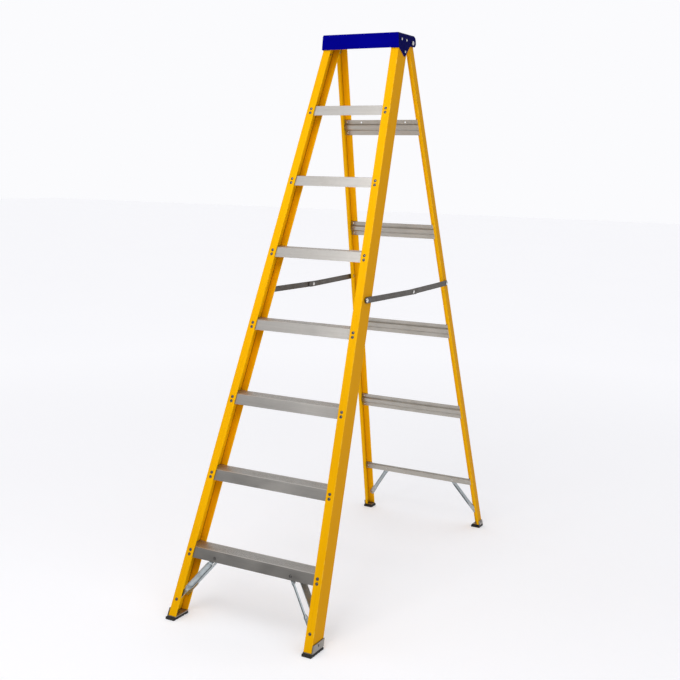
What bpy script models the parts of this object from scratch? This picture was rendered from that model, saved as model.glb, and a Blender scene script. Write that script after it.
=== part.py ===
"""Swing-back step ladder: glass-fibre channel stiles, seven aluminium treads, a blue top cap,
a braced rear frame that swings on two hinge bolts, and a pair of folding steel spreaders.

Metres, +Z up, +X across the ladder. The climber faces +Y. The origin is on the floor, at the
centre of the box around the open ladder.
"""
import math

import bmesh
import bpy
from mathutils import Matrix, Vector

SIDES = (("left", -1), ("right", 1))
GAP = 0.0003               # air between touching pieces
PIN_GAP = 0.0003           # radial air between a pin and its hole

# Front frame: channel stiles, flanges inwards. Lean and taper are run per unit of height.
FRONT_LEAN = 0.395
FRONT_TAPER = 0.0663
FRONT_HALF = 0.2643        # outer face of a front web, at floor level
FRONT_FACE = -0.6904       # face of the front flanges, at floor level
FRONT_WEB = 0.0619
FRONT_FLANGE = 0.0285
FRONT_WALL = 0.004
FRONT_TOP = 1.8625

# Rear frame: lighter stiles with a wide rear flange and a narrow front lip.
REAR_LEAN = 0.3004
REAR_TAPER = 0.0646
REAR_HALF = 0.2600
REAR_FACE = 0.6636         # front edge of the rear webs, at floor level
REAR_WEB = 0.0309
REAR_FLANGE = 0.0287
REAR_LIP = 0.0105
REAR_WALL = 0.0035
REAR_TOP_RADIUS = 0.0205   # stile top, rounded about the hinge bolt

# Treads
TREAD_COUNT = 7
TREAD_RISE = 0.235
TREAD_DROP = 0.016         # first tread sits this much lower than one rise
TREAD_SKIN = 0.003
TREAD_FRONT_LIP = 0.0317
TREAD_REAR_LIP = 0.0260
GROOVE_COUNT = 9
GROOVE_DEPTH = 0.0011

# Rear bars: height of the lower edge, overall height. The lowest one has no lower band.
REAR_BARS = ((1.5424, 0.0527), (1.1745, 0.0515), (0.7959, 0.0530), (0.4673, 0.0518), (0.1788, 0.0266))
BAR_SKIN = 0.0020
BAR_SWAGE = 0.0060         # how far the middle band stands forward
BAR_EDGE = 0.0150          # flat band along each edge
BAR_SLOPE = 0.0040
LOW_BAR_SWAGE = 0.0026
LOW_BAR_EDGE = 0.0045
LOW_BAR_SLOPE = 0.0018
BAR_HOLE_X = 0.0870
BAR_HOLE_RADIUS = 0.0030

# Top cap
CAP_FRONT = 0.0240
CAP_TOP = 1.8700
CAP_SKIRT = 0.0490
CAP_WALL = 0.0026
CAP_COVER = 0.0030          # thickness of the top
CAP_DRAFT = 0.0022          # how far the ends draw in above the webs
CAP_AIR = 0.0004           # between the side plates and the webs
CAP_REAR = 0.1520
HINGE_Y = 0.1300
HINGE_Z = 1.8445
BOLT_RADIUS = 0.0040

# Spreaders: pivots in the YZ plane
FRONT_PIVOT = Vector((0.0, -0.2671, 1.0116))
MID_PIVOT = Vector((0.0, 0.0813, 1.0078))
REAR_PIVOT = Vector((0.0, 0.3754, 1.0132))
LINK_WIDTH = 0.0190
LINK_THICK = 0.0025
LINK_STAND_OFF = 0.0022    # from the front web to the front link
LINK_AIR = 0.0005          # between the two links
LINK_TAIL = 0.0220         # length of each link beyond the middle pivot
PIN_RADIUS = 0.0040

# Braces, from the rivet in the tread or bar to the rivet in the stile
FRONT_BRACE_TOP = (0.1400, 0.1980)
FRONT_BRACE_FOOT = (0.2455, 0.0610)
REAR_BRACE_TOP = (0.1455, 0.1885)
REAR_BRACE_FOOT = (0.2340, 0.0640)
FRONT_BRACE_WIDTH = 0.0210
FRONT_BRACE_END = 0.0066    # radius of the flat ends
FRONT_BRACE_FLATS = (0.020, 0.038)
FRONT_BRACE_ROLL = math.radians(54)
REAR_BRACE_WIDTH = 0.0155
REAR_BRACE_END = 0.0091
REAR_BRACE_FLATS = (0.014, 0.026)
BRACE_SKIN = 0.0016
BRACE_RIM = 0.0026
BRACE_RIM_END = 0.0002
BRACE_TURN = (0.010, 0.020)  # length in which a strap turns, below the top and above the foot

# Feet
SOLE_HEIGHT = 0.0078
SHOE_PLATE = 0.0028
FRONT_SHOE_TAB = 0.0240
REAR_SHOE_TAB = 0.0190
SOLE_TEETH = 5
SOLE_GROOVE = 0.0030
FRONT_SOLE_X = (0.2345, 0.2672)
FRONT_SOLE_Y = (-0.6950, -0.6200)
REAR_SOLE_X = (0.2270, 0.2625)
REAR_SOLE_Y = (0.6555, 0.6950)

FRONT_SLOPE = math.hypot(1.0, FRONT_LEAN)
REAR_SLOPE = math.hypot(1.0, REAR_LEAN)
STILE_FOOT = SOLE_HEIGHT + SHOE_PLATE + 2 * GAP

PARTS = None
CUTTERS = None


# ---------------------------------------------------------------- frame geometry
def front_y(z, depth=0.0):
    """Y of the plane that lies depth behind the front flanges' face, at height z."""
    return FRONT_FACE + FRONT_LEAN * z + depth * FRONT_SLOPE


def rear_y(z, depth=0.0):
    """Y of the plane that lies depth behind the rear stiles' front edge, at height z."""
    return REAR_FACE - REAR_LEAN * z + depth * REAR_SLOPE


def front_half(z):
    return FRONT_HALF - FRONT_TAPER * z


def rear_half(z):
    return REAR_HALF - REAR_TAPER * z


def lean_matrix(side, taper, lean):
    """Shear that leans an upright solid back by lean and inwards by taper."""
    shear = Matrix.Identity(4)
    shear[0][2] = -side * taper
    shear[1][2] = lean
    return shear


# ---------------------------------------------------------------- modelling helpers
def collection(name):
    made = bpy.data.collections.new(name)
    bpy.context.scene.collection.children.link(made)
    return made


def material(name, color, roughness, metallic):
    made = bpy.data.materials.new(name)
    made.use_nodes = True
    shader = made.node_tree.nodes["Principled BSDF"]
    shader.inputs["Base Color"].default_value = (*color, 1.0)
    shader.inputs["Roughness"].default_value = roughness
    shader.inputs["Metallic"].default_value = metallic
    made.diffuse_color = (*color, 1.0)
    return made


def rounded(outline, radii, steps=4):
    """The closed outline with each corner that has a radius turned into an arc."""
    points = []
    count = len(outline)
    for i, corner in enumerate(outline):
        radius = radii.get(i, 0.0)
        if radius == 0.0:
            points.append(corner)
            continue
        here = Vector(corner)
        before = (Vector(outline[i - 1]) - here).normalized()
        after = (Vector(outline[(i + 1) % count]) - here).normalized()
        half_angle = before.angle(after) / 2
        reach = radius / math.tan(half_angle)
        centre = here + (before + after).normalized() * radius / math.sin(half_angle)
        start = here + before * reach - centre
        sweep = math.pi - 2 * half_angle
        turn = 1 if before.cross(after) < 0 else -1
        for k in range(steps + 1):
            angle = turn * sweep * k / steps
            spoke = Matrix.Rotation(angle, 2) @ start
            points.append(tuple(centre + spoke))
    return points


def stadium(length, width, overrun=0.0, steps=6):
    """A bar's outline along +X from a round end at 0 to one at length, in the XY plane."""
    radius = width / 2
    points = []
    for centre, first in ((length + overrun, -90), (0.0, 90)):
        for k in range(steps + 1):
            angle = math.radians(first + 180 * k / steps)
            points.append((centre + radius * math.cos(angle), radius * math.sin(angle)))
    return points


def plate(name, outline, thickness, matrix=None):
    """A flat outline made solid, half its thickness to each side of the local XY plane."""
    curve = bpy.data.curves.new(name, "CURVE")
    curve.dimensions = "2D"
    curve.fill_mode = "BOTH"
    curve.extrude = thickness / 2
    spline = curve.splines.new("POLY")
    spline.points.add(len(outline) - 1)
    for point, (x, y) in zip(spline.points, outline):
        point.co = (x, y, 0.0, 1.0)
    spline.use_cyclic_u = True
    guide = bpy.data.objects.new(name + "_curve", curve)
    bpy.context.scene.collection.objects.link(guide)
    graph = bpy.context.evaluated_depsgraph_get()
    mesh = bpy.data.meshes.new_from_object(guide.evaluated_get(graph))
    bpy.data.objects.remove(guide)
    mesh.name = name
    solid = bmesh.new()
    solid.from_mesh(mesh)
    bmesh.ops.remove_doubles(solid, verts=solid.verts, dist=0.000005)
    solid.to_mesh(mesh)
    solid.free()
    if matrix is not None:
        mesh.transform(matrix)
    made = bpy.data.objects.new(name, mesh)
    PARTS.objects.link(made)
    return made


# Local X, Y and Z of an outline drawn in the YZ plane, and of one drawn in the XZ plane.
ALONG_X = Matrix(((0, 0, 1, 0), (1, 0, 0, 0), (0, 1, 0, 0), (0, 0, 0, 1)))
ALONG_Y = Matrix(((1, 0, 0, 0), (0, 0, -1, 0), (0, 1, 0, 0), (0, 0, 0, 1)))


def turned(name, profile, centre, side, steps=20):
    """A profile of (radius, distance) turned about the X axis; distance runs outwards."""
    mesh = bpy.data.meshes.new(name)
    line = bmesh.new()
    verts = [line.verts.new((radius, 0.0, along)) for radius, along in profile]
    for first, second in zip(verts, verts[1:]):
        line.edges.new((first, second))
    line.to_mesh(mesh)
    line.free()
    made = bpy.data.objects.new(name, mesh)
    PARTS.objects.link(made)
    screw = made.modifiers.new("turn", "SCREW")
    screw.steps = steps
    screw.render_steps = steps
    screw.use_merge_vertices = True
    screw.merge_threshold = 0.00001
    made.rotation_euler = (0.0, side * math.pi / 2, 0.0)
    made.location = centre
    return made


def rivet_profile(reach, head, shank, tail, dome, grip):
    """Domed head from 0 outwards by dome, shank inwards by grip, flat tail at its end."""
    rise = [(head * math.cos(a), dome * math.sin(a)) for a in (math.pi / 2, math.pi / 3.2, math.pi / 7)]
    return [(0.0, dome)] + rise[1:] + [(head, 0.0), (shank, 0.0), (shank, -grip), (tail, -grip),
            (tail, -grip - reach), (0.0, -grip - reach)]


def cutter(name, made):
    PARTS.objects.unlink(made)
    CUTTERS.objects.link(made)
    made.name = name
    made.hide_render = True
    made.display_type = "WIRE"
    return made


def drill(target, centre, radius, length=0.03, axis="X"):
    """A round hole through target, along a world axis."""
    bm = bmesh.new()
    bmesh.ops.create_cone(bm, cap_ends=True, segments=20, radius1=radius, radius2=radius, depth=length)
    mesh = bpy.data.meshes.new(target.name + "_drill")
    bm.to_mesh(mesh)
    bm.free()
    turn = Matrix.Rotation(math.pi / 2, 4, "Y") if axis == "X" else Matrix.Rotation(math.pi / 2, 4, "X")
    if axis == "Z":
        turn = Matrix.Identity(4)
    mesh.transform(Matrix.Translation(centre) @ turn)
    tool = bpy.data.objects.new(mesh.name, mesh)
    PARTS.objects.link(tool)
    combine(target, cutter(mesh.name, tool), "DIFFERENCE")


def combine(target, tool, operation):
    change = target.modifiers.new(operation.lower(), "BOOLEAN")
    change.operation = operation
    change.object = tool
    change.solver = "EXACT"


def finish(made, paint):
    """Give a part its material."""
    made.data.materials.clear()
    made.data.materials.append(paint)
    return made


# ---------------------------------------------------------------- stiles
def channel(half, face, web, lip, flange, wall, slope):
    """Horizontal section of the right-hand stile, from its outer rear corner round to the front."""
    back = face + web * slope
    skin = wall * slope
    outline = [(half, face), (half, back), (half - flange, back), (half - flange, back - skin),
               (half - wall, back - skin), (half - wall, face + skin), (half - lip, face + skin),
               (half - lip, face)]
    edge = 0.0012
    return rounded(outline, {0: 0.0025, 1: 0.0025, 2: edge, 3: edge, 6: edge, 7: edge}, 2)


def upright(name, section, low, high, side, taper, lean):
    outline = [(side * x, y) for x, y in section]
    rise = Matrix.Translation((0.0, 0.0, (low + high) / 2))
    return plate(name, outline, high - low, lean_matrix(side, taper, lean) @ rise)


def front_stile(word, side, paint):
    section = channel(FRONT_HALF, FRONT_FACE, FRONT_WEB, FRONT_FLANGE, FRONT_FLANGE, FRONT_WALL, FRONT_SLOPE)
    made = upright("front_stile_" + word, section, STILE_FOOT, FRONT_TOP, side, FRONT_TAPER, FRONT_LEAN)
    drill(made, (side * front_half(FRONT_PIVOT.z), FRONT_PIVOT.y, FRONT_PIVOT.z), PIN_RADIUS + PIN_GAP)
    for y, z in CAP_RIVETS:
        drill(made, (side * front_half(z), y, z), RIVET_RADIUS + PIN_GAP)
    return finish(made, paint)


def rear_stile(word, side, paint):
    section = channel(REAR_HALF, REAR_FACE, REAR_WEB, REAR_LIP, REAR_FLANGE, REAR_WALL, REAR_SLOPE)
    top = HINGE_Z + REAR_TOP_RADIUS
    made = upright("rear_stile_" + word, section, STILE_FOOT, top, side, REAR_TAPER, -REAR_LEAN)
    combine(made, top_rounding(made.name, REAR_TOP_RADIUS), "DIFFERENCE")
    drill(made, (side * rear_half(HINGE_Z), HINGE_Y, HINGE_Z), BOLT_RADIUS + PIN_GAP)
    drill(made, (side * rear_half(REAR_PIVOT.z), REAR_PIVOT.y, REAR_PIVOT.z), PIN_RADIUS + PIN_GAP)
    return finish(made, paint)


def top_rounding(name, radius):
    """Everything above the hinge bolt that lies outside a circle about it."""
    steps = 14
    reach = 0.06
    lift = radius * math.sin(math.radians(4))
    arc = []
    for k in range(steps + 1):
        angle = math.radians(4 + 172 * k / steps)
        arc.append((HINGE_Y + radius * math.cos(angle), HINGE_Z + radius * math.sin(angle)))
    outline = arc + [(HINGE_Y - reach, HINGE_Z + lift), (HINGE_Y - reach, HINGE_Z + reach),
                     (HINGE_Y + reach, HINGE_Z + reach), (HINGE_Y + reach, HINGE_Z + lift)]
    return cutter(name + "_rounding", plate(name + "_rounding", outline, 0.4, ALONG_X))


def hinge_plate(word, side, paint):
    """Steel plate inside a rear stile's web, round the hinge bolt."""
    inset = REAR_WALL + GAP + 0.0002
    thick = 0.0025
    depth = (REAR_WALL + 0.0014, REAR_WEB - REAR_WALL - 0.0014)
    low = HINGE_Z - 0.024
    outline = [(rear_y(low, depth[0]), low), (rear_y(low, depth[1]), low),
               (rear_y(HINGE_Z + 0.012, depth[1]), HINGE_Z + 0.012),
               (rear_y(HINGE_Z + 0.012, depth[0]), HINGE_Z + 0.012)]
    outline = rounded(outline, {0: 0.005, 1: 0.005, 2: 0.008, 3: 0.008}, 3)
    lean = Matrix.Identity(4)
    lean[0][2] = -side * REAR_TAPER
    shift = Matrix.Translation((side * (REAR_HALF - inset - thick / 2), 0.0, 0.0))
    made = plate("hinge_plate_" + word, outline, thick, lean @ shift @ ALONG_X)
    drill(made, (side * rear_half(HINGE_Z), HINGE_Y, HINGE_Z), BOLT_RADIUS + PIN_GAP)
    return finish(made, paint)


# ---------------------------------------------------------------- treads and rear bars
def stretch_across(made, half):
    """Move a unit-long profile's two ends to plus and minus half(z)."""
    for vert in made.data.vertices:
        vert.co.x = math.copysign(half(vert.co.z), vert.co.x)


def tread(number, paint):
    """Ribbed top, with a lip down the front and the back, cut to fit between the webs."""
    top = TREAD_RISE * number - TREAD_DROP
    front = FRONT_WALL + GAP
    rear = FRONT_WEB - FRONT_WALL - GAP
    y0 = front_y(top, front)
    y1 = front_y(top, rear)
    edge = 0.0045
    pitch = (y1 - y0 - 2 * edge) / GROOVE_COUNT
    outline = [(y0, top)]
    for k in range(GROOVE_COUNT):
        start = y0 + edge + pitch * (k + 0.30)
        end = y0 + edge + pitch * (k + 0.70)
        outline += [(start, top), (start + 0.0004, top - GROOVE_DEPTH),
                    (end - 0.0004, top - GROOVE_DEPTH), (end, top)]
    low_rear = top - TREAD_REAR_LIP
    low_front = top - TREAD_FRONT_LIP
    under = top - TREAD_SKIN
    outline += [(y1, top), (front_y(low_rear, rear), low_rear),
                (front_y(low_rear, rear - TREAD_SKIN), low_rear), (front_y(under, rear - TREAD_SKIN), under),
                (front_y(under, front + TREAD_SKIN), under),
                (front_y(low_front, front + TREAD_SKIN), low_front), (front_y(low_front, front), low_front)]
    made = plate(f"tread_{number}", rounded(outline, {0: 0.0015}, 2), 2.0, ALONG_X)
    stretch_across(made, lambda z: front_half(z) - FRONT_WALL - GAP - 0.0001)
    return finish(made, paint)


def rear_bar(number, low, height, paint):
    """Swaged bar whose flat edges lie against the front of the rear flanges."""
    high = low + height
    back = REAR_WEB - REAR_WALL - GAP
    skin = BAR_SKIN
    if height > 2 * BAR_EDGE + 2 * BAR_SLOPE:
        edge, slope, swage = BAR_EDGE, BAR_SLOPE, BAR_SWAGE
        knee = low + edge
        lower_front = [(knee + slope, back - swage - skin), (knee, back - skin), (low, back - skin)]
        knee += skin / 2
        lower_rear = [(low, back), (knee, back), (knee + slope, back - swage)]
    else:
        edge, slope, swage = LOW_BAR_EDGE, LOW_BAR_SLOPE, LOW_BAR_SWAGE
        lower_front = [(low, back - swage - skin)]
        lower_rear = [(low, back - swage)]
    bend = high - edge
    front = [(high, back - skin), (bend, back - skin), (bend - slope, back - swage - skin)] + lower_front
    rear = lower_rear + [(bend - slope - skin / 2, back - swage), (bend - skin / 2, back), (high, back)]
    outline = [(rear_y(z, depth), z) for z, depth in front + rear]
    made = plate(f"rear_bar_{number}", outline, 2.0, ALONG_X)
    stretch_across(made, lambda z: rear_half(z) - REAR_WALL - GAP - 0.0002)
    if number == 1:
        for side in (-1, 1):
            hole_z = high - 0.0085
            drill(made, (side * BAR_HOLE_X, rear_y(hole_z, back), hole_z), BAR_HOLE_RADIUS, axis="Y")
    return finish(made, paint)


# ---------------------------------------------------------------- braces
def brace_section(half, rim, roll):
    """Channel section (across, normal), turned by roll: a strap with a rim along each edge."""
    low, high = -BRACE_SKIN / 2, BRACE_SKIN / 2
    inner = half - BRACE_SKIN
    outline = [(-half, low), (half, low), (half, high + rim), (inner, high + rim), (inner, high),
               (-inner, high), (-inner, high + rim), (-half, high + rim)]
    turn = Matrix.Rotation(roll, 2)
    return [turn @ Vector(point) for point in outline]


def brace_stations(length, half, end, flats, rim, roll):
    """Sections along a brace: round flat ends, then the channel, turned and of full width.

    flats are the lengths of flat strap beyond the top and foot rivets; each is followed by a
    stretch in which the strap turns and widens.
    """
    stations = [(-end * math.cos(math.radians(t)), end * math.sin(math.radians(t))) for t in (28, 46, 66)]
    stations = [(s, h, BRACE_RIM_END, 0.0) for s, h in stations + [(0.0, end), (flats[0], end)]]
    near = flats[0] + BRACE_TURN[0]
    far = length - flats[1] - BRACE_TURN[1]
    for k in (1, 2):
        share = k / 3
        mid = (end + (half - end) * share, BRACE_RIM_END + (rim - BRACE_RIM_END) * share, roll * share)
        stations.append((flats[0] + BRACE_TURN[0] * share, *mid))
    stations += [(near, half, rim, roll), (far, half, rim, roll)]
    for k in (2, 1):
        share = k / 3
        mid = (end + (half - end) * share, BRACE_RIM_END + (rim - BRACE_RIM_END) * share, roll * share)
        stations.append((length - flats[1] - BRACE_TURN[1] * share, *mid))
    stations += [(length - flats[1], end, BRACE_RIM_END, 0.0), (length, end, BRACE_RIM_END, 0.0)]
    for t in (66, 46, 28):
        angle = math.radians(t)
        stations.append((length + end * math.cos(angle), end * math.sin(angle), BRACE_RIM_END, 0.0))
    return stations


def brace(name, width, end, top, foot, plane, lean, way, flats, roll, paint):
    """Pressed brace between two rivets (x, z): flat round ends and a channel turned by roll.

    plane(z) is the ends' mid-plane and lean its slope. way is +1 when the channel opens towards
    the back. The channel's lower edge turns away from the side that it opens to.
    """
    start = Vector((top[0], plane(top[1]), top[1]))
    foot_point = Vector((foot[0], plane(foot[1]), foot[1]))
    along = (foot_point - start).normalized()
    normal = Vector((0.0, way, -way * lean)).normalized()
    across = normal.cross(along).normalized()
    upward = 1.0 if across.z > 0 else -1.0
    length = (foot_point - start).length
    mesh = bmesh.new()
    rings = []
    for s, half, rim, turn in brace_stations(length, width / 2, end, flats, BRACE_RIM, roll * upward):
        centre = start + along * s
        section = brace_section(half, rim, turn)
        rings.append([mesh.verts.new(centre + across * a + normal * b) for a, b in section])
    for first, second in zip(rings, rings[1:]):
        for k in range(len(first)):
            j = (k + 1) % len(first)
            mesh.faces.new((first[k], first[j], second[j], second[k]))
    mesh.faces.new(rings[0][::-1])
    mesh.faces.new(rings[-1])
    bmesh.ops.recalc_face_normals(mesh, faces=mesh.faces)
    data = bpy.data.meshes.new(name)
    mesh.to_mesh(data)
    mesh.free()
    made = bpy.data.objects.new(name, data)
    PARTS.objects.link(made)
    return finish(made, paint)


def braces(paint):
    made = []
    inset = FRONT_WALL + TREAD_SKIN + 2 * GAP + BRACE_SKIN / 2 + BRACE_RIM_END + 0.0001
    rear_inset = REAR_WEB - REAR_WALL - GAP - BRACE_SKIN / 2
    for word, side in SIDES:
        top = (side * FRONT_BRACE_TOP[0], FRONT_BRACE_TOP[1])
        foot = (side * FRONT_BRACE_FOOT[0], FRONT_BRACE_FOOT[1])
        for name, depth, way in (("front_brace_", inset, -1), ("inner_brace_", FRONT_WEB - inset, 1)):
            made.append(brace(name + word, FRONT_BRACE_WIDTH, FRONT_BRACE_END, top, foot,
                              lambda z: front_y(z, depth), FRONT_LEAN, way, FRONT_BRACE_FLATS,
                              FRONT_BRACE_ROLL, paint))
        top = (side * REAR_BRACE_TOP[0], REAR_BRACE_TOP[1])
        foot = (side * REAR_BRACE_FOOT[0], REAR_BRACE_FOOT[1])
        made.append(brace("rear_brace_" + word, REAR_BRACE_WIDTH, REAR_BRACE_END, top, foot,
                          lambda z: rear_y(z, rear_inset), -REAR_LEAN, -1, REAR_BRACE_FLATS,
                          0.0, paint))
    return made


# ---------------------------------------------------------------- top cap and hinges
RIVET_RADIUS = 0.0024
CAP_RIVETS = ((0.0492, 1.8500), (0.0850, 1.8495), (0.0715, 1.8105))


def top_cap(paint):
    """Top plate and front skirt between two side plates that reach down over the webs."""
    low = CAP_TOP - CAP_SKIRT
    ear = [(CAP_FRONT, low), (0.0315, low), (0.0690, 1.7934), (0.1130, 1.8330), (0.1500, 1.8330),
           (0.1590, 1.8425), (0.1590, 1.8570), (CAP_REAR, CAP_TOP), (CAP_FRONT, CAP_TOP)]
    corners = {1: 0.004, 2: 0.006, 3: 0.006, 4: 0.006, 5: 0.007, 6: 0.007, 7: 0.006, 8: 0.002}
    outline = rounded(ear, corners, 3)
    shoulder = FRONT_TOP + 0.0015

    def inner(z):
        return front_half(z) + CAP_AIR

    def outer(z):
        return inner(z) + CAP_WALL

    def drawn_in(z):
        return CAP_DRAFT * (z - shoulder) / (CAP_TOP - shoulder)

    body = plate("top_cap", outline, 2.0, ALONG_X)
    stretch_across(body, outer)
    behind = CAP_FRONT + CAP_COVER
    below = CAP_TOP - CAP_COVER
    lower = [(behind, 1.7), (0.3, 1.7), (0.3, shoulder), (behind, shoulder)]
    hollow = plate("cap_hollow", lower, 2.0, ALONG_X)
    stretch_across(hollow, inner)
    combine(body, cutter("cap_hollow", hollow), "DIFFERENCE")
    upper = [(behind, shoulder - 0.001), (0.3, shoulder - 0.001), (0.3, below), (behind, below)]
    hollow = plate("cap_hollow_upper", upper, 2.0, ALONG_X)
    stretch_across(hollow, lambda z: inner(z) - max(drawn_in(z), 0.0) - 0.0002)
    combine(body, cutter("cap_hollow_upper", hollow), "DIFFERENCE")
    for word, side in SIDES:
        edge_line = [(outer(z) - drawn_in(z), z) for z in (CAP_TOP + 0.01, shoulder - 0.004)]
        clear = edge_line[1][0] + 0.02
        wedge = [(side * x, z) for x, z in edge_line + [(clear, shoulder - 0.004), (clear, CAP_TOP + 0.01)]]
        trim = plate("cap_trim_" + word, wedge, 1.0, ALONG_Y)
        combine(body, cutter("cap_trim_" + word, trim), "DIFFERENCE")
    for word, side in SIDES:
        drill(body, (side * outer(HINGE_Z), HINGE_Y, HINGE_Z), BOLT_RADIUS + PIN_GAP, 0.02)
        for y, z in CAP_RIVETS:
            drill(body, (side * outer(z), y, z), RIVET_RADIUS + PIN_GAP, 0.02)
    return finish(body, paint)


def cap_fasteners(word, side, steel):
    """Three rivets through a side plate and the front web, and the hinge bolt."""
    made = []
    for number, (y, z) in enumerate(CAP_RIVETS, 1):
        face = front_half(z) + CAP_AIR + CAP_WALL + 0.0006
        grip = CAP_WALL + CAP_AIR + FRONT_WALL + 0.0012
        profile = rivet_profile(0.0010, 0.0042, RIVET_RADIUS, 0.0036, 0.0020, grip)
        rivet = turned(f"cap_rivet_{word}_{number}", profile, (side * face, y, z), side, 14)
        made.append(finish(rivet, steel))
    face = front_half(HINGE_Z) + CAP_AIR + CAP_WALL + 0.0008
    inside = rear_half(HINGE_Z) - REAR_WALL - GAP - 0.0002 - 0.0025 - 0.0007
    grip = face - inside
    profile = [(0.0, 0.0042), (0.0052, 0.0042), (0.0070, 0.0030), (0.0070, 0.0), (BOLT_RADIUS, 0.0),
               (BOLT_RADIUS, -grip), (0.0066, -grip), (0.0066, -grip - 0.0046),
               (BOLT_RADIUS, -grip - 0.0052), (0.0, -grip - 0.0062)]
    bolt = turned("hinge_bolt_" + word, profile, (side * face, HINGE_Y, HINGE_Z), side, 18)
    made.append(finish(bolt, steel))
    return made


# ---------------------------------------------------------------- spreaders
def link_plane(side):
    """Mid-plane X of the front link and of the rear link."""
    inner = front_half(FRONT_PIVOT.z) + LINK_STAND_OFF
    front = inner + LINK_THICK / 2
    rear = inner - LINK_AIR - LINK_THICK / 2
    return side * front, side * rear


def link(name, pivot, x, tail, paint):
    """Flat link from pivot to the middle pivot and a little beyond, its origin on the pivot."""
    reach = MID_PIVOT - pivot
    angle = math.atan2(reach.z, reach.y)
    frame = ALONG_X @ Matrix.Rotation(angle, 4, "Z")
    made = plate(name, stadium(reach.length, LINK_WIDTH, tail), LINK_THICK, frame)
    made.location = (x, pivot.y, pivot.z)
    for point in (pivot, MID_PIVOT):
        drill(made, (x, point.y, point.z), PIN_RADIUS + PIN_GAP, 0.01)
    return finish(made, paint)


def spreader(word, side, steel, pin_steel):
    front_x, rear_x = link_plane(side)
    front = link("spreader_front_link_" + word, FRONT_PIVOT, front_x, LINK_TAIL, steel)
    rear = link("spreader_rear_link_" + word, REAR_PIVOT, rear_x, LINK_TAIL, steel)
    made = [front, rear]
    web_tilt = 0.0006
    for name, pivot, x, web, wall in (
            ("spreader_front_pin_", FRONT_PIVOT, front_x, front_half(FRONT_PIVOT.z), FRONT_WALL),
            ("spreader_rear_pin_", REAR_PIVOT, rear_x, rear_half(REAR_PIVOT.z), REAR_WALL)):
        face = abs(x) + LINK_THICK / 2 + GAP
        collar_top = abs(x) - LINK_THICK / 2 - GAP - face
        collar_foot = web + web_tilt - face
        tail = web - wall - web_tilt - face
        profile = [(0.0, 0.0032), (0.0045, 0.0027), (0.0070, 0.0010), (0.0073, 0.0), (PIN_RADIUS, 0.0),
                   (PIN_RADIUS, collar_top), (0.0075, collar_top), (0.0075, collar_foot),
                   (PIN_RADIUS, collar_foot), (PIN_RADIUS, tail), (0.0065, tail), (0.0055, tail - 0.0020),
                   (0.0, tail - 0.0024)]
        pin = turned(name + word, profile, (side * face, pivot.y, pivot.z), side)
        made.append(finish(pin, pin_steel))
    outer = abs(front_x) + LINK_THICK / 2 + GAP
    profile = [(0.0, 0.0024), (0.0040, 0.0020), (0.0062, 0.0008), (0.0065, 0.0), (PIN_RADIUS, 0.0),
               (PIN_RADIUS, -LINK_THICK - GAP), (0.0, -LINK_THICK - GAP)]
    head = turned("spreader_mid_rivet_" + word, profile, (side * outer, MID_PIVOT.y, MID_PIVOT.z), side)
    made.append(finish(head, pin_steel))
    inner = abs(rear_x) - LINK_THICK / 2 - GAP
    profile = [(0.0, LINK_THICK + GAP), (PIN_RADIUS, LINK_THICK + GAP), (PIN_RADIUS, 0.0), (0.0065, 0.0),
               (0.0062, -0.0008), (0.0040, -0.0018), (0.0, -0.0022)]
    tail = turned("spreader_mid_tail_" + word, profile, (side * inner, MID_PIVOT.y, MID_PIVOT.z), side)
    made.append(finish(tail, pin_steel))
    return made


# ---------------------------------------------------------------- feet
def shoe(name, tall, half, face, depth, flange, side, taper, lean, paint):
    """Folded plate under a stile's end, with a tab up the outside of its web."""
    low = SOLE_HEIGHT + GAP
    inner = half - flange - 0.0010
    tab = half + 0.0005
    outer = tab + SHOE_PLATE
    outline = [(inner, low), (outer, low), (outer, low + tall), (tab, low + tall),
               (tab, low + SHOE_PLATE), (inner, low + SHOE_PLATE)]
    outline = [(side * x, z) for x, z in rounded(outline, {1: 0.002}, 3)]
    shift = Matrix.Translation((0.0, face + depth / 2, 0.0))
    made = plate(name, outline, depth, lean_matrix(side, taper, lean) @ shift @ ALONG_Y)
    return finish(made, paint)


def sole(name, span_x, span_y, side, paint):
    """Rubber pad with cross grooves in its underside and its upper edges drawn in."""
    pitch = (span_y[1] - span_y[0]) / SOLE_TEETH
    outline = []
    for k in range(SOLE_TEETH):
        start = span_y[0] + k * pitch
        outline += [(start, 0.0), (start + pitch * 0.62, 0.0)]
        if k < SOLE_TEETH - 1:
            outline += [(start + pitch * 0.70, SOLE_GROOVE), (start + pitch * 0.92, SOLE_GROOVE)]
    outline[-1] = (span_y[1], 0.0)
    outline += [(span_y[1], SOLE_HEIGHT - 0.0012), (span_y[1] - 0.0012, SOLE_HEIGHT),
                (span_y[0] + 0.0012, SOLE_HEIGHT), (span_y[0], SOLE_HEIGHT - 0.0012)]
    middle = side * (span_x[0] + span_x[1]) / 2
    made = plate(name, outline, span_x[1] - span_x[0], Matrix.Translation((middle, 0.0, 0.0)) @ ALONG_X)
    return finish(made, paint)


def feet(word, side, metal, rubber):
    shoe("front_shoe_" + word, FRONT_SHOE_TAB, FRONT_HALF, FRONT_FACE, FRONT_WEB * FRONT_SLOPE,
         FRONT_FLANGE, side, FRONT_TAPER, FRONT_LEAN, metal)
    sole("front_sole_" + word, FRONT_SOLE_X, FRONT_SOLE_Y, side, rubber)
    shoe("rear_shoe_" + word, REAR_SHOE_TAB, REAR_HALF, REAR_FACE, REAR_WEB * REAR_SLOPE,
         REAR_FLANGE, side, REAR_TAPER, -REAR_LEAN, metal)
    sole("rear_sole_" + word, REAR_SOLE_X, REAR_SOLE_Y, side, rubber)


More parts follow.
